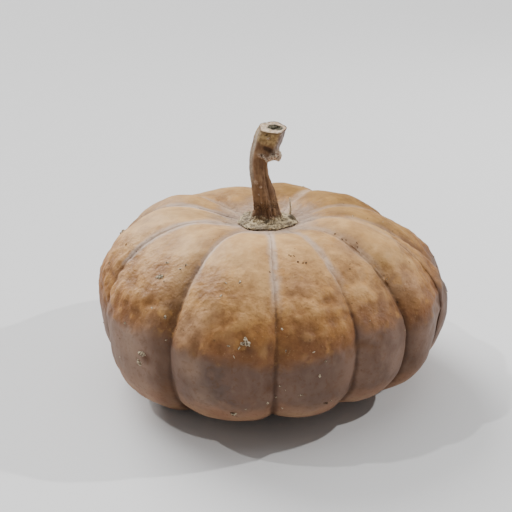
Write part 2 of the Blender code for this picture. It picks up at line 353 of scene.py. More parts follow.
SCAB_ROOT = 0.0007
SCAB_ROOT_SHARE = 0.35
SCAB_LIFT = 0.004
HIDDEN_SCABS = 46
HIDDEN_BEARINGS = (-20.0, 200.0)
HIDDEN_HEIGHTS = (0.035, 0.150)
HIDDEN_SIZES = (0.0009, 0.0012, 0.0014, 0.0018, 0.0030)
FURROW_CRUMBS = 14
DUSTY_FURROWS = (1, 2, 3, 6, 8, 9, 10)
DUST_SPREAD = 2.2
DUST_HEIGHTS = (0.095, 0.150)
DUST_SIZES = (0.0004, 0.0008)
DARK_DUST = 0.85
SPINE = Scab(290, 214, 0.0011)
SPINE_HEIGHT = 0.0150
SPINE_SIDES = 8
SPINE_PLACES = (-0.15, 0.2, 0.5, 0.8, 1.0)
SPINE_TAPER = 0.50
SPINE_BEND = 0.0004
SPINE_BENDS = 5.0
OUTSIDE = 0.3


def ease(x):
    """0 to 1 with level ends, for x from 0 to 1."""
    x = np.clip(x, 0.0, 1.0)
    return x * x * (3.0 - 2.0 * x)


def bump(x):
    """1 in the middle, falling evenly to 0 at x = 1 and x = -1."""
    return ease(1.0 - np.abs(x))


def rough(points, relief):
    """Even noise from -1 to 1 at points, with features as wide as the relief's size."""
    shift = Vector((relief.seed * 3.1, relief.seed * 5.7, relief.seed * 1.3))
    scale = 1.0 / relief.size
    return np.array([noise.noise(Vector(point) * scale + shift) for point in points])


def body_profile(t):
    """Radius and height of the unribbed body, from the blossom end, t = 0, to the stalk's seat, t = 1."""
    turn = -0.5 * math.pi + t * (math.pi - math.asin(SEAT_RADIUS / HALF_WIDTH))
    upper = turn >= 0.0
    fullness = np.where(upper, 2.0, BELLY_FULLNESS)
    tall = np.where(upper, CROWN_RISE, BELLY_DROP) / HALF_WIDTH
    across, along = np.cos(turn), np.abs(np.sin(turn)) * tall
    length = np.hypot(across, along)
    across, along = across / length, along / length
    reach = HALF_WIDTH * (across**fullness + (along / tall) ** fullness) ** (-1.0 / fullness)
    radius = reach * across
    height = reach * along
    dimple = DIMPLE_DEPTH * np.exp(-((radius / DIMPLE_RADIUS) ** 2))
    blossom = BLOSSOM_DEPTH * np.exp(-((radius / BLOSSOM_RADIUS) ** 2))
    return radius, np.where(upper, height - dimple, blossom - height)


def profile_normal(t):
    """The outward direction of the profile at t, as its radial and its upward part."""
    step = 1e-3
    low_radius, low_height = body_profile(np.clip(t - step, 0.0, 1.0))
    high_radius, high_height = body_profile(np.clip(t + step, 0.0, 1.0))
    run, rise = high_radius - low_radius, high_height - low_height
    length = np.hypot(run, rise)
    return rise / length, -run / length


def swell(lobe, t):
    """How far the middle of a lobe stands out of the plain body at t."""
    shoulder = ease((t - GIRTH_PLACE) / BLEND_REACH)
    belly = ease((GIRTH_PLACE - t) / BLEND_REACH)
    out = lobe.shoulder * shoulder + lobe.girth * (1.0 - shoulder - belly) + lobe.belly * belly
    over_underside = ease((t - UNDERSIDE_START) / (UNDERSIDE_END - UNDERSIDE_START))
    return out * over_underside * ease((1.0 - t) / SEAT_REACH)


def furrow_depth(furrow, t):
    """How deep a furrow is at t, which changes from its belly depth to its shoulder depth."""
    upper = ease(0.5 + (t - GIRTH_PLACE) / (2.0 * BLEND_REACH))
    return furrow.belly + (furrow.shoulder - furrow.belly) * upper


def furrow_offset(index, t):
    """How far the bottom of a furrow lies outside the plain body at t, and its bearing in degrees."""
    furrow = FURROWS[index % len(FURROWS)]
    beside = 0.5 * (swell(LOBES[index % len(LOBES)], t) + swell(LOBES[index - 1], t))
    full_turn = 360.0 if index == len(FURROWS) else 0.0
    bearing = furrow.bearing + full_turn + furrow.turn * (t - GIRTH_PLACE)
    return beside - furrow_depth(furrow, t) * np.sin(math.pi * t) ** FURROW_BLUNTNESS, bearing


def lobe_section(across):
    """The rounded shape of a lobe between its furrows: 1 in the middle, 0 at across = -1 and 1."""
    edge = math.sqrt(1.0 - LOBE_ROUNDNESS**2)
    return (np.sqrt(1.0 - (LOBE_ROUNDNESS * across) ** 2) - edge) / (1.0 - edge)


def rounded(across, half_lobe):
    """Places across a lobe, moved off its edges so that the furrow between two lobes is rounded out."""
    beside = 1.0 - np.abs(across)
    rounding = np.minimum(FURROW_ROUNDING / half_lobe, MOST_ROUNDING)
    return np.copysign(1.0 - np.sqrt(beside**2 + rounding**2), across)


def rind_points(t, index, across):
    """Points of the rind at t along the meridian and across one lobe from -1 to 1, and how far each
    is from the nearest furrow."""
    near, near_bearing = furrow_offset(index, t)
    far, far_bearing = furrow_offset(index + 1, t)
    radius, height = body_profile(t)
    width = far_bearing - near_bearing
    half_lobe = 0.5 * np.radians(width) * radius
    share = 0.5 * (across + 1.0)
    fullness = lobe_section(rounded(across, half_lobe)) * ease(width / FULL_LOBE_DEGREES)
    offset = (near + (far - near) * share) * (1.0 - fullness) + swell(LOBES[index], t) * fullness
    outward, upward = profile_normal(t)
    radius = radius + offset * outward
    height = height + offset * upward + GIRTH_HEIGHT
    bearing = np.radians(near_bearing + width * share)
    x = FRUIT_AXIS[0] + radius * np.cos(bearing)
    y = FRUIT_AXIS[1] + radius * np.sin(bearing)
    return np.stack([x, y, np.maximum(height, 0.0)], axis=-1), (1.0 - np.abs(across)) * half_lobe


def even_levels(count):
    """Places along the meridian that lie evenly on the body's profile."""
    fine = np.linspace(FIRST_ROW, 1.0, 4000)
    radius, height = body_profile(fine)
    along = np.concatenate([[0.0], np.cumsum(np.hypot(np.diff(radius), np.diff(height)))])
    return np.interp(np.linspace(0.0, along[-1], count), along, fine)


def band_faces(rows, columns, first=0):
    """The four-sided faces between closed rings of points, of which the first point has a given number."""
    faces = []
    for low in range(first, first + (rows - 1) * columns, columns):
        high = low + columns
        for column in range(columns):
            after = (column + 1) % columns
            faces.append((low + column, low + after, high + after, high + column))
    return faces


def smooth_mesh(name, points, faces, material):
    mesh = bpy.data.meshes.new(name)
    mesh.from_pydata(points.tolist(), [], faces)
    mesh.shade_smooth()
    mesh.materials.append(material)
    return mesh


def grid_mesh(name, rings, attributes, material):
    """A closed body from rings of points, with a fan of faces at each end."""
    rows, columns = rings.shape[:2]
    points = np.concatenate([rings.reshape(-1, 3), [rings[0].mean(axis=0)], [rings[-1].mean(axis=0)]])
    faces = band_faces(rows, columns)
    bottom, top, last = len(points) - 2, len(points) - 1, (rows - 1) * columns
    for column in range(columns):
        after = (column + 1) % columns
        faces.append((bottom, after, column))
        faces.append((top, last + column, last + after))
    mesh = smooth_mesh(name, points, faces, material)
    for key, values in attributes.items():
        values = np.concatenate([values.ravel(), [values[0].mean()], [values[-1].mean()]])
        mesh.attributes.new(key, "FLOAT", "POINT").data.foreach_set("value", values.astype(np.float32))
    return mesh


def placed(name, data):
    """An object in the scene with this mesh, lamp or camera."""
    made = bpy.data.objects.new(name, data)
    bpy.context.scene.collection.objects.link(made)
    return made


def add_piece(name, mesh, slot, *replaced):
    """Adds a piece that rides on the pumpkin's one body."""
    piece = placed(name, mesh)
    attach(piece, "root")
    if replaced:
        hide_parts(*replaced)
    return piece


def in_box(points):
    """Points moved into the solids' box, where they lie outside it."""
    return np.clip(points, np.array(cad_box[0]) + BOX_MARGIN, np.array(cad_box[1]) - BOX_MARGIN)


def normals_of(rings):
    """The outward direction at each point of a grid of rings."""
    around = np.roll(rings, -1, axis=1) - np.roll(rings, 1, axis=1)
    along = np.gradient(rings, axis=0)
    out = np.cross(around, along)
    return out / np.linalg.norm(out, axis=-1, keepdims=True)


def wrinkles(flat, levels, away):
    """How deep the wrinkles are that run out from the stalk's foot."""
    ring = np.exp(-(((away - SEAT_RADIUS) / WRINKLE_REACH) ** 2)) * (levels > WRINKLES_FROM)[:, None]
    bearing = np.arctan2(flat[:, 1] - FRUIT_AXIS[1], flat[:, 0] - FRUIT_AXIS[0])
    around = np.stack([np.cos(bearing), np.sin(bearing)], -1) * WRINKLE_TURNS
    stretched = np.concatenate([around, away.reshape(-1, 1) * WRINKLE_STRETCH], -1)
    return WRINKLES.depth * ring * np.abs(rough(stretched, WRINKLES)).reshape(away.shape)


def rind_relief(points, levels, across, from_furrow):
    """How far the fine rind lies under the plain surface of the lobes, and how hollow it is there."""
    flat = points.reshape(-1, 3)
    height = points[..., 2]
    away = np.hypot(points[..., 0] - FRUIT_AXIS[0], points[..., 1] - FRUIT_AXIS[1])

    def sunk(relief):
        return -0.5 * rough(flat, relief).reshape(height.shape)

    lumpy = ease((height - LUMPY_FROM) / LUMPY_FROM_FADE) * ease((LUMPY_TO - height) / LUMPY_TO_FADE)
    lumpy *= np.clip(LUMPY_SHARE - LUMPY_PATCHES * sunk(PATCHES), *LUMPY_LIMITS)
    hollow = sum(
        relief.depth * sunk(relief) * (relief.calm + (1.0 - relief.calm) * lumpy)
        for relief in (DENTS, LUMPS, KNOBBLES)
    )
    carved = DRYING + SWELLS.depth * sunk(SWELLS) + hollow
    pinch = np.exp(-((from_furrow / PINCH_REACH) ** 2)) * ease((PINCH_TOP - height) / PINCH_FADE)
    carved += PINCH_DEPTH * pinch + wrinkles(flat, levels, away)
    fold = bump((across - SIDE_FOLD_ACROSS) / SIDE_FOLD_WIDTH)
    fold[: SIDE_FOLD_LOBE * COLUMNS_PER_LOBE] = 0.0
    fold[(SIDE_FOLD_LOBE + 1) * COLUMNS_PER_LOBE :] = 0.0
    reach = (levels - SIDE_FOLD_LOW) / (SIDE_FOLD_HIGH - SIDE_FOLD_LOW)
    carved += SIDE_FOLD_DEPTH * fold[None, :] * bump(2.0 * reach - 1.0)[:, None]
    return carved * ease((1.0 - levels) / SEAT_FADE)[:, None] * ease(height / UNDERSIDE_FADE), hollow


def furrow_depths(levels, across):
    """How deep the nearest furrow is at each point, as a share of the deepest one."""
    share = 0.5 * (across + 1.0)
    rows = []
    for t in levels:
        depth = np.array([furrow_depth(furrow, t) for furrow in FURROWS])
        after = np.roll(depth, -1)
        rows.append(np.concatenate([depth[i] + (after[i] - depth[i]) * share for i in range(len(LOBES))]))
    return np.array(rows) / max(furrow.belly for furrow in FURROWS)


def camera_pose():
    """The camera's place, and the direction in which it looks."""
    forward = Vector((0.0, math.cos(CAMERA_DOWN), -math.sin(CAMERA_DOWN)))
    return Vector(TARGET) - forward * CAMERA_DISTANCE, forward


def sight(x, y):
    """The camera's place, and the direction in which it sees a pixel of the photograph."""
    place, forward = camera_pose()
    up = Vector((0.0, math.sin(CAMERA_DOWN), math.cos(CAMERA_DOWN)))
    focal = LENS / SENSOR * PHOTO_PIXELS
    middle = 0.5 * PHOTO_PIXELS
    aim = forward + Vector((1.0, 0.0, 0.0)) * ((x - middle) / focal) + up * ((middle - y) / focal)
    return place, aim.normalized()


def tinges_and_shades_on(points):
    """How much paler than its surroundings each point of the rind is, or browner under 0, where the browner
    is partly painted shade.
    """
    outward = normals_of(points)
    total = np.zeros(points.shape[:2])
    for tinge_and_shade in TINGES_AND_SHADES:
        origin, aim = (np.array(part) for part in sight(tinge_and_shade.x, tinge_and_shade.y))
        away = points - origin
        off = np.linalg.norm(away - (away @ aim)[..., None] * aim, axis=-1)
        off[outward @ aim >= 0.0] = np.inf
        middle = points[np.unravel_index(np.argmin(off), off.shape)]
        total += tinge_and_shade.share * ease(1.0 - np.linalg.norm(points - middle, axis=-1) / tinge_and_shade.size)
    return total


def rind_looks(points, levels, across, from_furrow, hollow):
    """What the rind's material reads at each point."""
    share = 0.5 * (across + 1.0)
    after = BLOOMS[1:] + BLOOMS[:1]
    columns = {
        "dusk_edge": [look.near + (look.far - look.near) * share for look in LOOKS],
        "grey": [look.grey * bump(GREY_WIDTH * across) for look in LOOKS],
        "gold": [np.full(across.shape, look.gold) for look in LOOKS],
        "painted_flank_shade": [np.where(across < 0.0, look.near_shade, look.far_shade) for look in LOOKS],
        "bloom": [np.where(across < 0.0, near, far) for near, far in zip(BLOOMS, after)],
    }
    looks = {key: np.tile(np.concatenate(parts), (len(levels), 1)) for key, parts in columns.items()}
    looks["from_furrow"] = from_furrow
    looks["hollow"] = 0.5 + hollow / HOLLOW_RANGE
    looks["fold_depth"] = furrow_depths(levels, across)
    looks["tinge_and_shade"] = tinges_and_shades_on(points)
    return looks


def make_rind(material):
    """The fruit, lobe by lobe round each level, carved inwards by its relief and kept in the box."""
    levels = even_levels(RIND_ROWS)
    across = np.linspace(-1.0, 1.0, COLUMNS_PER_LOBE + 1)[:-1]
    across = EVEN_COLUMNS * across + (1.0 - EVEN_COLUMNS) * np.sin(0.5 * math.pi * across)
    rows, distances = [], []
    for t in levels:
        level = np.full(across.shape, t)
        lobes = [rind_points(level, lobe, across) for lobe in range(len(LOBES))]
        rows.append(np.concatenate([points for points, _ in lobes]))
        distances.append(np.concatenate([distance for _, distance in lobes]))
    points, from_furrow = np.array(rows), np.array(distances)
    carved, hollow = rind_relief(points, levels, np.tile(across, len(LOBES)), from_furrow)
    points = in_box(points - normals_of(points) * carved[..., None])
    points[..., 2] = np.where(points[..., 2] <= BOX_MARGIN, 0.0, points[..., 2])
    looks = rind_looks(points, levels, across, from_furrow, hollow)
    return add_piece("rind", grid_mesh("rind", points, looks, material), "rind", "pumpkin_body")


def curve_through(values, position):
    """A smooth curve through evenly spaced values, read at a position counted in values."""
    first = min(int(position), len(values) - 2)
    share = position - first
    before, start = values[max(first - 1, 0)], values[first]
    end, after = values[first + 1], values[min(first + 2, len(values) - 1)]
    leave, arrive = 0.5 * (end - before), 0.5 * (after - start)
    return (
        start
        + leave * share
        + (3.0 * (end - start) - 2.0 * leave - arrive) * share**2
        + (2.0 * (start - end) + leave + arrive) * share**3
    )


def ring_around(centre, lean, radii, bearings):
    """A ring of points round a centre, in the plane square to a direction that leans from +Z."""
    upward = np.array([lean[0], lean[1], 1.0])
    upward /= np.linalg.norm(upward)
    right = np.array([1.0, 0.0, 0.0]) - upward * upward[0]
    right /= np.linalg.norm(right)
    back = np.cross(upward, right)
    return centre + radii[:, None] * (
        np.cos(bearings)[:, None] * right + np.sin(bearings)[:, None] * back
    )


def waved(waves, bearings):
    """The sum of a set of waves round the stalk."""
    return sum(wave.share * np.cos(wave.count * bearings + wave.start) for wave in waves)


def ridged(radius, height, bearings, share):
    """A radius with the stalk's lengthwise ridges."""
    return radius * (1.0 + share * waved(RIDGE_WAVES, bearings + RIDGE_TURN * height))


def degrees_from(bearings, middle):
    """How far each bearing is from a middle one, in degrees from -180 to 180."""
    return (np.degrees(bearings) - middle + 180.0) % 360.0 - 180.0


def scar_rise(height, bearings):
    """How far the torn scar of the side shoot stands out of the shaft."""
    across = bump(degrees_from(bearings, SCAR_BEARING) / SCAR_HALF_DEGREES)
    return SCAR_RISE * across * bump((height - SCAR_HEIGHT) / SCAR_HALF_HEIGHT)


def foot_ring(seat, radius, height, bearings):
    """One ring of the flared foot: ragged at its rim, ridged at its neck, with the knob on its right."""
    outer = (radius - FOOT[-1].radius) / (FOOT[1].radius - FOOT[-1].radius)
    radii = radius * (1.0 + FOOT_RAGGEDNESS * outer * waved(FOOT_WAVES, bearings))
    radii = ridged(radii, height, bearings, RIDGE_SHARE * (1.0 - outer))
    ring = ring_around(seat + np.array([0.0, 0.0, height]), (0.0, 0.0), radii, bearings)
    near = bump(degrees_from(bearings, KNOB_BEARING) / KNOB_HALF_DEGREES)
    lift = ease((height - SEAT_GAP) / (FOOT[1].height - SEAT_GAP))
    ring[:, 2] += KNOB_RISE * near * lift * bump((radius - KNOB_RADIUS) / KNOB_REACH)
    return ring


def stalk_rings(seat, bearings):
    """The stalk's rings from its foot's underside to its cut rim, with each ring's height over the seat."""
    rings, heights = [], []
    flares = np.array(FOOT)
    for step in range((len(FOOT) - 1) * RINGS_PER_FLARE + 1):
        radius, height = curve_through(flares, step / RINGS_PER_FLARE)
        rings.append(foot_ring(seat, radius, height, bearings))
        heights.append(height)
    stations = np.array(SHAFT)
    last = len(SHAFT) - 1
    for step in range(last * RINGS_PER_STATION + 1):
        position = step / RINGS_PER_STATION
        x, y, height, radius = curve_through(stations, position)
        ahead = curve_through(stations, min(position + LEAN_STEP, last))
        behind = curve_through(stations, max(position - LEAN_STEP, 0.0))
        lean = (ahead - behind)[:2] / (ahead - behind)[2]
        lean = lean + (np.array(CUT_FACES) - lean) * ease(1.0 - (last - position) / CUT_STATIONS)
        radii = ridged(radius, height, bearings, RIDGE_SHARE) + scar_rise(height, bearings)
        rings.append(ring_around(seat + np.array([x, y, height]), lean, radii, bearings))
        heights.append(height)
    return rings, heights


def cut_rings(rim, bearings):
    """The cut end, from just inside its rim down into its ragged hollow."""
    centre = rim.mean(axis=0)
    radius = np.linalg.norm(rim - centre, axis=1).mean()
    upward = np.array([CUT_FACES[0], CUT_FACES[1], 1.0])
    upward /= np.linalg.norm(upward)
    mouth_centre = centre + np.array([HOLLOW_OFFSET[0], HOLLOW_OFFSET[1], 0.0])
    floor_centre = mouth_centre - upward * HOLLOW_DEPTH
    inner = centre + (rim - centre) * RIM_SHARE + upward * RIM_RISE
    ragged = 1.0 + waved(MOUTH_WAVES, bearings)
    mouth = ring_around(mouth_centre, CUT_FACES, radius * MOUTH_SHARE * ragged, bearings)
    floor = ring_around(floor_centre, CUT_FACES, radius * FLOOR_SHARE * ragged, bearings)
    knots = np.array([rim, inner, mouth, floor])
    rings = []
    for place in np.linspace(0.0, len(knots) - 1.0, CUT_RINGS + 1)[1:]:
        first = min(int(place), len(knots) - 2)
        rings.append(knots[first] + (knots[first + 1] - knots[first]) * (place - first))
    return rings


def spot(mark, bearing, height, radius):
    """1 in the middle of a small mark on the shaft, falling to 0 at its edge."""
    across = np.radians(degrees_from(bearing, mark.bearing)) * radius
    return bump(np.hypot(across, height - mark.height) / mark.size)


class StalkSurface:
    """How far each point of the fine stalk stands out of the plain one, and how dark, pale and crusty
    it is, where the dark is mostly painted shade in its grooves, pits and hollows and under its lip."""

    def __init__(self, points, bearing, height, radius):
        self.flat = points.reshape(-1, 3)
        self.bearing, self.height, self.radius = bearing, height, radius
        self.out, self.dark, self.pale, self.crust = (np.zeros(height.shape) for _ in range(4))
        self.add_bark()
        self.add_cork()
        self.add_torn()
        self.add_marks()

    def noisy(self, relief, stretch=1.0):
        return rough(self.flat * np.array([1.0, 1.0, stretch]), relief).reshape(self.height.shape)

    def between(self, low, high, soft):
        """1 from a low to a high place on the stalk, with soft ends."""
        return ease((self.height - low) / soft + 0.5) * ease((high - self.height) / soft + 0.5)

    def around(self, middle, half_degrees):
        """1 at a bearing, falling to 0 at some degrees from it."""
        return bump(degrees_from(self.bearing, middle) / half_degrees)

    def darken(self, share):
        self.dark = np.maximum(self.dark, share)

    def add_bark(self):
        """Bark with long grooves, and with fibres over the foot, with painted shade in the grooves and
        between the fibres.
        """
        broad, grain = self.noisy(BARK), self.noisy(BARK_GRAIN)
        self.out += BARK.depth * self.noisy(BARK, BARK_STRETCH)
        self.out += BARK_GRAIN.depth * self.noisy(BARK_GRAIN, GRAIN_STRETCH)
        for groove in GROOVES:
            middle = groove.bearing + groove.turn * (self.height - groove.low)
            width = self.around(middle, groove.half) * self.between(groove.low, groove.high, GROOVE_FADE)
            self.out -= groove.depth * width
            self.darken(width * (0.34 + 0.5 * grain))
        fibre = waved((FIBRES,), self.bearing + FIBRE_WANDER * broad)
        fibre = fibre * self.between(FIBRE_LOW, FIBRE_TOP, FIBRE_FADE)
        self.out += fibre
        self.darken(np.clip(-fibre / FIBRES.share, 0.0, 1.0) * 0.8)

    def add_cork(self):
        """The corky foot with painted shade in its pits, dark round its knob."""
        cork = ease((CORK_HEIGHT - self.height) / CORK_FADE + 0.5)
        broad, grain = self.noisy(CORK), self.noisy(CORK_GRAIN)
        self.out += cork * (CORK.depth * broad + CORK_GRAIN.depth * grain)
        self.darken(cork * ease((0.02 - broad) / 0.40))
        self.darken(cork * ease((-0.04 - grain) / 0.35))
        knob = self.around(KNOB_BEARING, 2.0 * KNOB_HALF_DEGREES)
        self.darken(2.4 * knob * cork * ease((self.radius - KNOB_RADIUS + KNOB_REACH) / KNOB_REACH))

    def add_torn(self):
        """The curled lip, the torn hole over it with a painted shadow in it, and the rugged crust of the lip
        and of the scar, with painted shade in the crust's hollows.
        """
        curl = self.around(LIP_BEARING, LIP_HALF_DEGREES)
        curl = curl * bump((self.height - LIP_HEIGHT) / LIP_HALF_HEIGHT)
        tear = self.around(TEAR_BEARING, TEAR_HALF_DEGREES)
        tear = tear * bump((self.height - TEAR_HEIGHT) / TEAR_HALF_HEIGHT)
        self.out += LIP_RISE * curl - TEAR_DEPTH * tear
        # Painted shadow in the torn hole under the lip
        self.darken(0.9 * ease(1.4 * tear))
        scar = scar_rise(self.height, self.bearing) / SCAR_RISE
        self.crust = np.maximum(ease(2.6 * scar), ease(1.4 * curl))
        rugged = self.noisy(CRUST)
        self.out += CRUST.depth * self.crust * rugged
        self.darken(0.9 * self.crust * ease((-0.02 - rugged) / 0.25))

    def add_marks(self):
        """Warts, one pit and the pale streak up the left."""
        for wart in WARTS:
            near = spot(wart, self.bearing, self.height, self.radius)
            self.out += wart.rise * near
            self.crust = np.maximum(self.crust, 0.5 * ease(1.6 * near))
        hole = spot(PIT, self.bearing, self.height, self.radius)
        self.out += PIT.rise * hole
        self.darken(hole)
        streak = self.around(STREAK_BEARING, STREAK_HALF_DEGREES)
        streak = streak * self.between(STREAK_LOW, STREAK_HIGH, STREAK_FADE)
        self.pale = np.maximum(self.pale, streak * (0.85 + 0.8 * self.noisy(BARK, STREAK_STRETCH)))


def make_stalk(material):
    """The stalk: its corky foot, its ridged and bent shaft, and its cut end."""
    seat_height = float(body_profile(np.array([1.0]))[1][0]) + GIRTH_HEIGHT
    seat = np.array([FRUIT_AXIS[0], FRUIT_AXIS[1], seat_height])
    bearings = np.linspace(0.0, 2.0 * math.pi, STALK_SIDES + 1)[:-1]
    rings, heights = stalk_rings(seat, bearings)
    cut = cut_rings(rings[-1], bearings)
    points = np.array(rings + cut)
    height = np.repeat(np.array(heights + [heights[-1]] * len(cut))[:, None], len(bearings), axis=1)
    bearing = np.tile(bearings, (len(points), 1))
    radius = np.linalg.norm(points - points.mean(axis=1, keepdims=True), axis=-1)
    surface = StalkSurface(points, bearing, height, radius)
    on_side = (np.arange(len(points)) < len(rings) - 2)[:, None]
    on_cut, inside = np.zeros(height.shape), np.zeros(height.shape)
    on_cut[len(rings) :] = 1.0
    inside[len(rings) :] = np.linspace(0.0, 1.0, len(cut))[:, None]
    out = np.where(on_side, surface.out, on_cut * CUT_ROUGHNESS * (surface.noisy(CRUST) - 0.5))
    points = points + normals_of(points) * out[..., None]
    points[..., 2] = np.minimum(points[..., 2], cad_box[1][2] - BOX_MARGIN)
    points[0, :, 2] = seat_height + SEAT_GAP
    looks = {"on_cut": on_cut, "inside": inside, "bearing": bearing, "height": height}
    # The dark values are mostly painted shade in the grooves, between the fibres, in the pits and hollows and
    # in the torn hole, and dark round the knob
    for key, values in (("dark", surface.dark), ("pale", surface.pale), ("crust", surface.crust)):
        looks[key] = np.clip(values, 0.0, 1.0)
    return add_piece("stalk", grid_mesh("stalk", points, looks, material), "stalk", "pumpkin_stem")


def scab_on(surface, place, outward, size, draw):
    """One closed scab: a rugged low dome whose rim and underside are sunk in the rind."""
    side = outward.orthogonal().normalized()
    other = outward.cross(side)
    stretch, turn, seed = draw.uniform(*SCAB_STRETCH), draw.uniform(0.0, math.pi), draw.uniform(0.0, 50.0)
    root = min(SCAB_ROOT, SCAB_ROOT_SHARE * size)
    points = [place + outward * size * SCAB_SLENDERNESS * draw.uniform(*SCAB_TOPS)]
    for ring in range(1, SCAB_RINGS + 1):
        share = ring / SCAB_RINGS
        for step in range(SCAB_SIDES):
            angle = 2.0 * math.pi * step / SCAB_SIDES
            ragged = noise.noise(Vector((math.cos(angle), math.sin(angle), seed)) * SCAB_RAGS)
            reach = size * share * (0.95 + SCAB_RAGGED * ragged)
            along, across = reach * math.cos(angle), reach * math.sin(angle) * stretch
            flat = side * (along * math.cos(turn) - across * math.sin(turn))
            flat += other * (along * math.sin(turn) + across * math.cos(turn))
            rugged = noise.noise((place + flat) * SCAB_RUGS + Vector((seed, 0.0, 0.0)))
            rise = size * SCAB_SLENDERNESS * (1.0 - share**3) * (0.75 + SCAB_RUGGED * rugged)
            found = surface.ray_cast(place + flat + outward * SCAB_LIFT, -outward, 2.0 * SCAB_LIFT)[0]
            base = found if found is not None else place + flat
            points.append(base + outward * (rise - root * share**6))
    points.append(place - outward * 2.0 * root)
    faces = [(0, 1 + step, 1 + (step + 1) % SCAB_SIDES) for step in range(SCAB_SIDES)]
    faces += [(a, d, c, b) for a, b, c, d in band_faces(SCAB_RINGS, SCAB_SIDES, 1)]
    rim, under = 1 + (SCAB_RINGS - 1) * SCAB_SIDES, len(points) - 1
    faces += [(rim + step, under, rim + (step + 1) % SCAB_SIDES) for step in range(SCAB_SIDES)]
    return points, faces


def spine_on(place, draw):
    """The thin dry fibre that stands up beside the stalk's foot."""
    points = []
    for share in SPINE_PLACES:
        radius = SPINE.size * (1.0 - SPINE_TAPER * max(share, 0.0)) * draw.uniform(0.8, 1.2)
        lean = Vector((SPINE_BEND * math.sin(SPINE_BENDS * share), 0.0, SPINE_HEIGHT * share))
        for step in range(SPINE_SIDES):
            angle = 2.0 * math.pi * step / SPINE_SIDES
            points.append(place + lean + Vector((math.cos(angle), math.sin(angle), 0.0)) * radius)
    faces = band_faces(len(SPINE_PLACES), SPINE_SIDES)
    faces.append(tuple(range(len(points) - SPINE_SIDES, len(points))))
    faces.append(tuple(reversed(range(SPINE_SIDES))))
    return points, faces


def seen_spots(surface, wanted, spread):
    """Where the camera sees these scabs on the rind: place, outward direction and size."""
    spots = []
    for scab in wanted:
        place, outward = surface.ray_cast(*sight(scab.x, scab.y))[:2]
        if place is not None:
            spots.append((place, outward, scab.size * spread))
    return spots


def scab_spots(surface, draw):
    """Where scabs and dark crumbs lie: as the photograph shows them, and at random on the sides that it
    doesn't show, with crumbs along the furrows."""
    pale, dark = seen_spots(surface, SCABS, 1.0), seen_spots(surface, DARK_CRUMBS, CRUMB_SPREAD)

    def towards_axis(bearing, height):
        out = Vector((math.cos(bearing), math.sin(bearing), 0.0))
        return surface.ray_cast(out * OUTSIDE + Vector((*FRUIT_AXIS, height)), -out)[:2]

    for index in range(HIDDEN_SCABS):
        bearing = math.radians(draw.uniform(*HIDDEN_BEARINGS))
        place, outward = towards_axis(bearing, draw.uniform(*HIDDEN_HEIGHTS))
        if place is not None:
            kept = dark if index % 4 == 3 else pale
            kept.append((place, outward, draw.choice(HIDDEN_SIZES)))
    for index in DUSTY_FURROWS:
        for _ in range(FURROW_CRUMBS):
            bearing = math.radians(FURROWS[index].bearing + draw.gauss(0.0, DUST_SPREAD))
            place, outward = towards_axis(bearing, draw.uniform(*DUST_HEIGHTS))
            if place is not None:
                kept = dark if draw.random() < DARK_DUST else pale
                kept.append((place, outward, draw.uniform(*DUST_SIZES)))
    return pale, dark


def add_crust(name, points, faces, material):
    """Adds a piece of dry crust on the rind, kept in the solids' box."""
    mesh = smooth_mesh(name, in_box(np.array(points)), faces, material)
    add_piece(name, mesh, "rind", "pumpkin_body")


def make_scabs(rind):
    """The pale scabs, the dark crumbs and the dry fibre, in this order, from one row of random draws."""
    surface = BVHTree.FromPolygons(
        [vertex.co for vertex in rind.data.vertices], [tuple(face.vertices) for face in rind.data.polygons]
    )
    draw = random.Random(7)
    pale, dark = scab_spots(surface, draw)
    pale_crust = scab_material("scab", (84, 66, 52), (198, 182, 154))
    dark_crust = scab_material("crumb", (56, 40, 30), (92, 70, 54))
    for name, spots, material in (("scabs", pale, pale_crust), ("crumbs", dark, dark_crust)):
        points, faces = [], []
        for place, outward, size in spots:
            made, joined = scab_on(surface, place, outward, size, draw)
            faces += [tuple(corner + len(points) for corner in face) for face in joined]
            points += made
        add_crust(name, points, faces, material)
    points, faces = spine_on(surface.ray_cast(*sight(SPINE.x, SPINE.y))[0], draw)
    add_crust("spine", points, faces, scab_material("spine", (168, 150, 122), (216, 204, 180)))


def colour(red, green, blue):
    """A colour for a shader, from its sRGB values of 0 to 255."""
    parts = [value / 255.0 for value in (red, green, blue)]
    return tuple(p / 12.92 if p <= 0.04045 else ((p + 0.055) / 1.055) ** 2.4 for p in parts) + (1.0,)


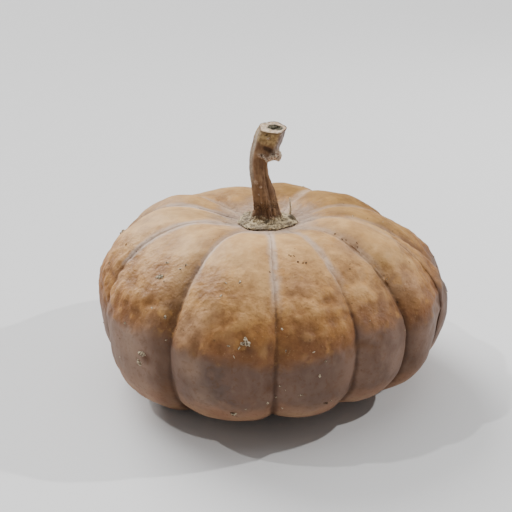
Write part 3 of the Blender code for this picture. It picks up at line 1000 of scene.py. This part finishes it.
class Paint:
    """A Principled material, with short ways to add the nodes that feed it."""

    def __init__(self, name):
        self.material = bpy.data.materials.new(name)
        self.material.use_nodes = True
        self.tree = self.material.node_tree
        self.shader = self.tree.nodes["Principled BSDF"]
        self.place = self.add("ShaderNodeTexCoord", {}).outputs["Object"]

    def feed(self, node, inputs):
        """Gives a node's sockets, named or counted, a value or what another node puts out."""
        for key, value in inputs.items():
            if isinstance(value, bpy.types.NodeSocket):
                self.tree.links.new(value, node.inputs[key])
            else:
                node.inputs[key].default_value = value

    def add(self, kind, inputs, **settings):
        made = self.tree.nodes.new(kind)
        for key, value in settings.items():
            setattr(made, key, value)
        self.feed(made, inputs)
        return made

    def shade(self, **inputs):
        """Sets the shader's sockets, named with underscores for spaces."""
        self.feed(self.shader, {key.replace("_", " "): value for key, value in inputs.items()})

    def math(self, operation, first, second=0.0):
        return self.add("ShaderNodeMath", {0: first, 1: second}, operation=operation).outputs[0]

    def times(self, *values):
        """The product of values."""
        total = values[0]
        for value in values[1:]:
            total = self.math("MULTIPLY", total, value)
        return total

    def blend(self, *parts):
        """The sum of values, each times its share."""
        total = self.times(*parts[0])
        for value, share in parts[1:]:
            inputs = {0: value, 1: share, 2: total}
            total = self.add("ShaderNodeMath", inputs, operation="MULTIPLY_ADD").outputs[0]
        return total

    def under_zero(self, value):
        """How far a value is under 0."""
        return self.times(self.math("MINIMUM", value, 0.0), -1.0)

    def span(self, value, low, high):
        """0 to 1, eased, as the value goes from low to high."""
        inputs = {"Value": value, "From Min": min(low, high), "From Max": max(low, high)}
        inputs["To Min"], inputs["To Max"] = (1.0, 0.0) if low > high else (0.0, 1.0)
        return self.add("ShaderNodeMapRange", inputs, interpolation_type="SMOOTHSTEP").outputs["Result"]

    def edge(self, value, low, high, *wobbles):
        """As span, for a value with wobbles added to it, each times its share."""
        return self.span(self.blend((value, 1.0), *wobbles), low, high)

    def mix(self, share, first, second):
        """From a first to a second colour as the share goes from 0 to 1."""
        return self.add("ShaderNodeMix", {0: share, 6: first, 7: second}, data_type="RGBA").outputs[2]

    def tones(self, value, low, high, first, second):
        """From a first to a second sRGB colour as the value goes from low to high."""
        return self.mix(self.span(value, low, high), colour(*first), colour(*second))

    def over(self, skin, shade, *shares):
        """A skin with an sRGB colour laid over it, by the product of the shares."""
        return self.mix(self.times(*shares), skin, colour(*shade))

    def moved(self, scale, shift):
        inputs = {"Vector": self.place, "Scale": scale, "Location": shift}
        return self.add("ShaderNodeMapping", inputs).outputs["Vector"]

    def clouds(self, size, detail, roughness, seed, stretch=(1.0, 1.0, 1.0)):
        """Noise from 0 to 1 with features about size metres across."""
        vector = self.moved(stretch, (seed, seed * 0.7, seed * 0.3))
        inputs = {"Vector": vector, "Scale": 1.0 / size, "Detail": detail, "Roughness": roughness}
        return self.add("ShaderNodeTexNoise", inputs).outputs["Fac"]

    def cells(self, size, seed, feature="F1"):
        """Distance to the nearest of scattered points about size metres apart, or to the edges between
        them."""
        vector = self.moved((1.0, 1.0, 1.0), (seed, seed * 0.7, seed * 0.3))
        inputs = {"Vector": vector, "Scale": 1.0 / size}
        return self.add("ShaderNodeTexVoronoi", inputs, feature=feature).outputs["Distance"]

    def read(self, name):
        return self.add("ShaderNodeAttribute", {}, attribute_name=name).outputs["Fac"]

    def bump(self, height, distance):
        inputs = {"Strength": 1.0, "Distance": distance, "Height": height}
        return self.add("ShaderNodeBump", inputs).outputs["Normal"]


class RindPaint(Paint):
    """The layers of the rind's material, and the values that several of them read."""

    def __init__(self):
        super().__init__("rind")
        self.height = self.add("ShaderNodeSeparateXYZ", {0: self.place}).outputs["Z"]
        across = self.moved((1.0, 1.0, 0.0), (-FRUIT_AXIS[0], -FRUIT_AXIS[1], 0.0))
        self.from_axis = self.add("ShaderNodeVectorMath", {0: across}, operation="LENGTH").outputs["Value"]
        self.from_furrow = self.read("from_furrow")
        self.painted_flank_shade = self.read("painted_flank_shade")
        self.hollow = self.read("hollow")
        self.bloom = self.read("bloom")
        self.broad = self.clouds(0.045, 1.0, 0.5, 0.3)
        self.blotch = self.clouds(0.018, 2.0, 0.45, 1.1)
        self.spots = self.clouds(0.0070, 2.0, 0.5, 2.3)
        self.grain = self.clouds(0.0016, 2.0, 0.5, 3.1)
        self.mottled = self.blend((self.blotch, 0.55), (self.broad, 0.25), (self.spots, 0.20))
        wobbles = ((self.blotch, 0.022), (self.broad, 0.050), (self.hollow, -0.012))
        self.lifted = self.blend((self.height, 1.0), *wobbles)
        wobbles = ((self.spots, 0.006), (self.blotch, 0.016), (self.broad, 0.020))
        over_edge = self.math("SUBTRACT", self.blend((self.height, 1.0), *wobbles), 0.021)
        self.over_edge = self.math("SUBTRACT", over_edge, self.read("dusk_edge"))
        # Where the lamps light the rind: 1 above the dusk's edge, which follows their terminator, and 0 below
        # it, in the dusk's painted shade
        self.lit = self.span(self.over_edge, -0.008, 0.006)

    def upper(self):
        """Orange-brown above the girth, then beige on the shoulder, or golden behind."""
        pale = self.tones(self.spots, 0.25, 0.75, (190, 149, 98), (202, 162, 110))
        tan = self.tones(self.spots, 0.25, 0.75, (174, 134, 87), (184, 144, 95))
        shoulder = self.mix(self.span(self.mottled, 0.30, 0.62), tan, pale)
        back = self.tones(self.mottled, 0.38, 0.60, (130, 96, 50), (152, 116, 64))
        shoulder = self.mix(self.read("gold"), shoulder, back)
        golden = self.tones(self.spots, 0.30, 0.70, (156, 108, 58), (168, 120, 68))
        brown = self.tones(self.spots, 0.30, 0.70, (124, 83, 48), (140, 95, 56))
        girth = self.mix(self.span(self.mottled, 0.34, 0.64), brown, golden)
        skin = self.mix(self.span(self.lifted, 0.126, 0.184), girth, shoulder)
        reddish = self.edge(self.height, 0.124, 0.104, (self.blotch, 0.030))
        return self.over(skin, (128, 84, 52), reddish, 0.6)

    def dusk(self):
        """The dusky belly, partly its own mauve colour and partly painted shade with a painted grey
        reflection: streaked mauve, ashen where a lobe is grey and paler where its grey is under 0.
        """
        mauve = self.tones(self.blotch, 0.30, 0.70, (106, 82, 69), (125, 98, 83))
        ash = self.tones(self.spots, 0.30, 0.70, (80, 64, 56), (96, 78, 69))
        streaks = self.clouds(0.0080, 3.0, 0.6, 9.4, stretch=(1.0, 1.0, 0.55))
        mauve = self.over(mauve, (146, 119, 102), self.span(streaks, 0.42, 0.72), 0.3)
        grey = self.read("grey")
        greyed = self.times(self.math("MAXIMUM", grey, 0.0), self.span(self.mottled, 0.34, 0.50))
        return self.over(self.mix(greyed, mauve, ash), (150, 124, 106), self.under_zero(grey))

    def plain(self):
        """The upper rind, browner towards its edge, the dusky belly under it, partly painted shade, and the
        tan bottom, partly painted light from the floor.
        """
        skin = self.over(self.upper(), (122, 84, 60), self.span(self.over_edge, 0.020, 0.002), 0.55)
        skin = self.mix(self.lit, self.dusk(), skin)
        # The tan bottom is partly painted light bounced up from the floor
        bottom = self.tones(self.mottled, 0.40, 0.60, (144, 106, 82), (160, 124, 96))
        return self.mix(self.edge(self.height, 0.066, 0.044, (self.blotch, 0.03)), skin, bottom)

    def tinged_and_shaded(self, skin):
        """The patches that are paler or browner than their surroundings, the browner ones partly painted
        shade, and the paler ones in a lit tone and a darker tone for the dusk's painted shade.
        """
        tinge_and_shade = self.read("tinge_and_shade")
        uneven = self.blend((self.spots, 0.9), (0.55, 1.0))
        # Paler in a lit tone above the dusk's edge, and in a darker tone for the dusk's painted shade
        paler = self.mix(self.lit, colour(146, 119, 100), colour(182, 143, 106))
        skin = self.mix(self.times(self.math("MAXIMUM", tinge_and_shade, 0.0), uneven), skin, paler)
        # Browner under 0, partly painted shade along the furrows and round the scabs
        return self.over(skin, (90, 60, 42), self.under_zero(tinge_and_shade), uneven)

    def bloomed(self, skin):
        """The pale bloom and frost of the upper furrows, and the grey, cracked ring round the stalk."""
        stripe = self.edge(self.from_furrow, 0.0100, 0.0050, (self.blotch, 0.008))
        high = self.edge(self.height, 0.124, 0.150, (self.broad, 0.03))
        skin = self.over(skin, (184, 154, 126), stripe, high, self.bloom)
        narrow = self.edge(self.from_furrow, 0.0056, 0.0026, (self.spots, 0.003))
        high = self.edge(self.height, 0.128, 0.146, (self.blotch, 0.03))
        broken = self.span(self.mottled, 0.26, 0.58)
        skin = self.over(skin, (190, 170, 156), narrow, high, self.bloom, broken, 0.9)
        ring = self.edge(self.from_axis, 0.072, 0.040, (self.blotch, 0.03))
        skin = self.over(skin, (178, 157, 140), ring, 0.8)
        cracks = self.span(self.cells(0.0095, 6.0, "DISTANCE_TO_EDGE"), 0.060, 0.015)
        near_foot = self.edge(self.from_axis, 0.058, 0.044, (self.spots, 0.020))
        return self.over(skin, (80, 68, 62), cracks, near_foot, self.span(self.spots, 0.40, 0.55), 0.45)

    def with_painted_furrow_shade(self, skin):
        """Painted shade on the flanks of the furrows lower down, and darker painted shade in the crease at
        their bottom.
        """
        # Painted shade in each furrow's valley, by the furrow's depth and each flank's shade, then in its
        # crease
        low = self.edge(self.height, 0.138, 0.106, (self.blotch, 0.02), (self.painted_flank_shade, -0.040))
        sunk = self.times(self.span(self.read("fold_depth"), 0.40, 0.95), self.painted_flank_shade, low)
        valley_shade = self.edge(self.from_furrow, 0.0350, 0.0090, (self.spots, 0.006), (self.blotch, 0.010))
        skin = self.over(skin, (80, 54, 36), valley_shade, sunk, 0.88)
        wobbles = ((self.spots, 0.0030), (self.blotch, 0.0030), (self.height, 0.030))
        crease_shade = self.edge(self.from_furrow, 0.0084, 0.0046, *wobbles)
        low = self.edge(self.height, 0.145, 0.107, (self.painted_flank_shade, -0.030))
        return self.over(skin, (66, 44, 32), crease_shade, low, 0.75)

    def marked(self, skin):
        """Worn, burnt and sunny patches, painted shade in hollows, painted highlights on lit swells, flecks
        and dots.
        """
        peel = self.clouds(0.0034, 3.0, 0.6, 7.7)
        patchy = self.clouds(0.0110, 3.0, 0.55, 8.9)
        worn = (self.span(peel, 0.47, 0.36), self.span(self.lifted, 0.190, 0.150))
        burnt = (self.span(patchy, 0.50, 0.66), self.span(self.lifted, 0.166, 0.142), self.lit)
        sunny = (self.span(patchy, 0.44, 0.32), self.span(self.lifted, 0.200, 0.160), self.lit)
        layers = (
            ((96, 62, 36), *worn, 0.28),
            ((108, 68, 38), *burnt, 0.34),
            ((180, 132, 74), *sunny, 0.45),
            # Painted shade in the relief's hollows, then painted highlights on its lit swells
            ((104, 70, 42), self.span(self.hollow, 0.50, 0.85), 0.55),
            ((196, 152, 100), self.span(self.hollow, 0.46, 0.15), self.lit, 0.30),
            ((206, 170, 120), self.span(self.grain, 0.62, 0.76), self.lit, 0.20),
            ((84, 60, 42), self.span(self.cells(0.011, 4.0), 0.070, 0.045), 0.6),
        )
        for shade, *shares in layers:
            skin = self.over(skin, shade, *shares)
        return skin

    def bumps(self):
        """Fine bumps, strongest over the dusk and on the lumpy part of the rind."""
        pimples = self.clouds(0.0042, 2.0, 0.5, 5.3)
        rough_skin = self.blend((pimples, 0.70), (self.spots, 0.20), (self.grain, 0.10))
        lumpy = self.edge(self.height, 0.178, 0.140, (self.broad, 0.04))
        amount = self.times(self.blend((self.lit, 0.75), (1.0, 0.25)), self.blend((lumpy, 0.7), (1.0, 0.3)))
        return self.bump(self.times(rough_skin, amount), 0.0018)


def rind_material():
    paint = RindPaint()
    skin = paint.plain()
    for layer in (paint.tinged_and_shaded, paint.bloomed, paint.with_painted_furrow_shade, paint.marked):
        skin = layer(skin)
    paint.shade(Base_Color=skin, Normal=paint.bumps(), Specular_IOR_Level=0.14, Roughness=0.54)
    return paint.material


def scab_material(name, low, high):
    """Dry crust, mottled between two colours."""
    paint = Paint(name)
    flakes = paint.clouds(0.0013, 3.0, 0.6, 0.8)
    skin = paint.tones(flakes, 0.40, 0.58, low, high)
    relief = paint.bump(flakes, 0.0006)
    paint.shade(Base_Color=skin, Normal=relief, Specular_IOR_Level=0.20, Roughness=0.85)
    return paint.material


class StalkPaint(Paint):
    """The parts of the stalk's material, and the values that several of them read."""

    def __init__(self):
        super().__init__("stalk")
        self.height = self.read("height")
        self.fibres = self.clouds(0.0020, 3.0, 0.6, 0.4, stretch=(1.0, 1.0, 0.16))
        self.blotch = self.clouds(0.0080, 2.0, 0.55, 1.2)
        self.flakes = self.clouds(0.0026, 2.0, 0.55, 2.4)
        self.specks = self.clouds(0.0011, 2.0, 0.55, 3.6)

    def bark(self):
        """Brown and dry, golden under the cut rim and mauve on the right there, grey up the left, and
        crusty at the torn scar."""
        bark = self.tones(self.fibres, 0.30, 0.70, (98, 72, 52), (124, 93, 67))
        bark = self.over(bark, (142, 111, 80), self.span(self.blotch, 0.44, 0.62), 0.6)
        golden = self.tones(self.flakes, 0.36, 0.66, (122, 95, 62), (158, 132, 90))
        bark = self.mix(self.edge(self.height, 0.0715, 0.0765, (self.blotch, 0.008)), bark, golden)
        mauve = self.tones(self.flakes, 0.40, 0.62, (96, 82, 78), (140, 126, 120))
        to_right = self.math("COSINE", self.math("ADD", self.read("bearing"), 0.30))
        right = self.times(self.span(to_right, 0.60, 0.92), self.span(self.height, 0.060, 0.070))
        bark = self.mix(right, bark, mauve)
        grey = self.tones(self.specks, 0.40, 0.60, (140, 126, 110), (168, 154, 136))
        bark = self.mix(self.read("pale"), bark, grey)
        crusty = self.tones(self.specks, 0.38, 0.60, (132, 104, 86), (192, 174, 152))
        return self.mix(self.read("crust"), bark, crusty)

    def side(self):
        """The bark over the pale, cracked and corky foot, with what is dark on both, mostly painted shade,
        and painted shade along the foot's lowest edge.
        """
        cork = self.tones(self.specks, 0.38, 0.60, (166, 147, 112), (212, 192, 152))
        cork = self.over(cork, (116, 102, 84), self.span(self.blotch, 0.46, 0.60), 0.8)
        low = self.edge(self.height, 0.0125, 0.0085, (self.flakes, 0.008))
        side = self.mix(low, self.bark(), cork)
        speckled = self.span(self.specks, 0.53, 0.64)
        side = self.over(side, (54, 42, 32), speckled, self.span(self.height, 0.028, 0.012), 0.7)
        # The painted shade of the dark values, browner over the bark than over the cork
        painted_shade = self.mix(low, colour(58, 40, 28), colour(74, 62, 48))
        side = self.mix(self.times(self.read("dark"), 0.80), side, painted_shade)
        # Painted shade along the foot's lowest edge, where it sits on the rind
        side = self.over(side, (56, 46, 36), self.span(self.height, 0.0013, 0.0006))
        rim = self.span(self.height, 0.0800, 0.0812)
        return self.over(side, (92, 70, 50), rim, self.span(self.flakes, 0.36, 0.52), 0.8)

    def cut(self):
        """The cream cut face round its dark hollow."""
        inside = self.read("inside")
        cream = self.tones(self.flakes, 0.40, 0.62, (176, 150, 122), (214, 194, 172))
        cream = self.over(cream, (120, 92, 66), self.span(inside, 0.05, 0.0))
        hollow = self.tones(self.specks, 0.38, 0.62, (58, 55, 43), (124, 116, 98))
        return self.mix(self.edge(inside, 0.66, 0.84, (self.flakes, 0.30)), cream, hollow)


def stalk_material():
    paint = StalkPaint()
    skin = paint.mix(paint.read("on_cut"), paint.side(), paint.cut())
    relief = paint.bump(paint.blend((paint.fibres, 0.5), (paint.specks, 0.5)), 0.0007)
    paint.shade(Base_Color=skin, Normal=relief, Specular_IOR_Level=0.22, Roughness=0.72)
    return paint.material


def make_floor():
    """The wide, even, light grey floor."""
    size = 30.0
    mesh = bpy.data.meshes.new("floor")
    corners = [(-size, -size, 0.0), (size, -size, 0.0), (size, size, 0.0), (-size, size, 0.0)]
    mesh.from_pydata(corners, [], [(0, 1, 2, 3)])
    paint = Paint("floor")
    tone = (FLOOR_TONE, FLOOR_TONE, FLOOR_TONE, 1.0)
    paint.shade(Base_Color=tone, Roughness=0.9, Specular_IOR_Level=0.1)
    mesh.materials.append(paint.material)
    floor = placed("floor", mesh)


def direction(bearing, height):
    """The direction of a bearing and a height over the horizon, both in degrees."""
    bearing, height = math.radians(bearing), math.radians(height)
    level = math.cos(height)
    return Vector((math.cos(bearing) * level, math.sin(bearing) * level, math.sin(height)))


def make_light():
    """An even, weak dome, two soft lights from behind and above, and small ones from left and right."""
    world = bpy.data.worlds.new("studio")
    bpy.context.scene.world = world
    world.use_nodes = True
    back = world.node_tree.nodes["Background"]
    back.inputs["Color"].default_value = (1.0, 1.0, 1.0, 1.0)
    back.inputs["Strength"].default_value = DOME
    for name, light in FAR_LIGHTS.items():
        lamp = bpy.data.lights.new(name, "SUN")
        lamp.energy = light.strength
        lamp.angle = math.radians(light.spread)
        towards = direction(light.bearing, light.height)
        placed(name, lamp).rotation_euler = towards.to_track_quat("Z", "Y").to_euler()
    lamp = bpy.data.lights.new("right", "POINT")
    lamp.energy = SIDE_LAMP_POWER
    lamp.shadow_soft_size = SIDE_LAMP_RADIUS
    towards = direction(SIDE_LAMP_BEARING, SIDE_LAMP_HEIGHT)
    placed("right", lamp).location = towards * SIDE_LAMP_DISTANCE


def make_camera():
    """The camera of the photograph."""
    lens = bpy.data.cameras.new("camera")
    lens.lens = LENS
    lens.sensor_width = SENSOR
    camera = placed("camera", lens)
    camera.location, forward = camera_pose()
    camera.rotation_euler = forward.to_track_quat("-Z", "Y").to_euler()
    bpy.context.scene.camera = camera


bpy.context.scene.view_settings.view_transform = "AgX"
make_camera()
make_light()
make_floor()
make_scabs(make_rind(rind_material()))
make_stalk(stalk_material())
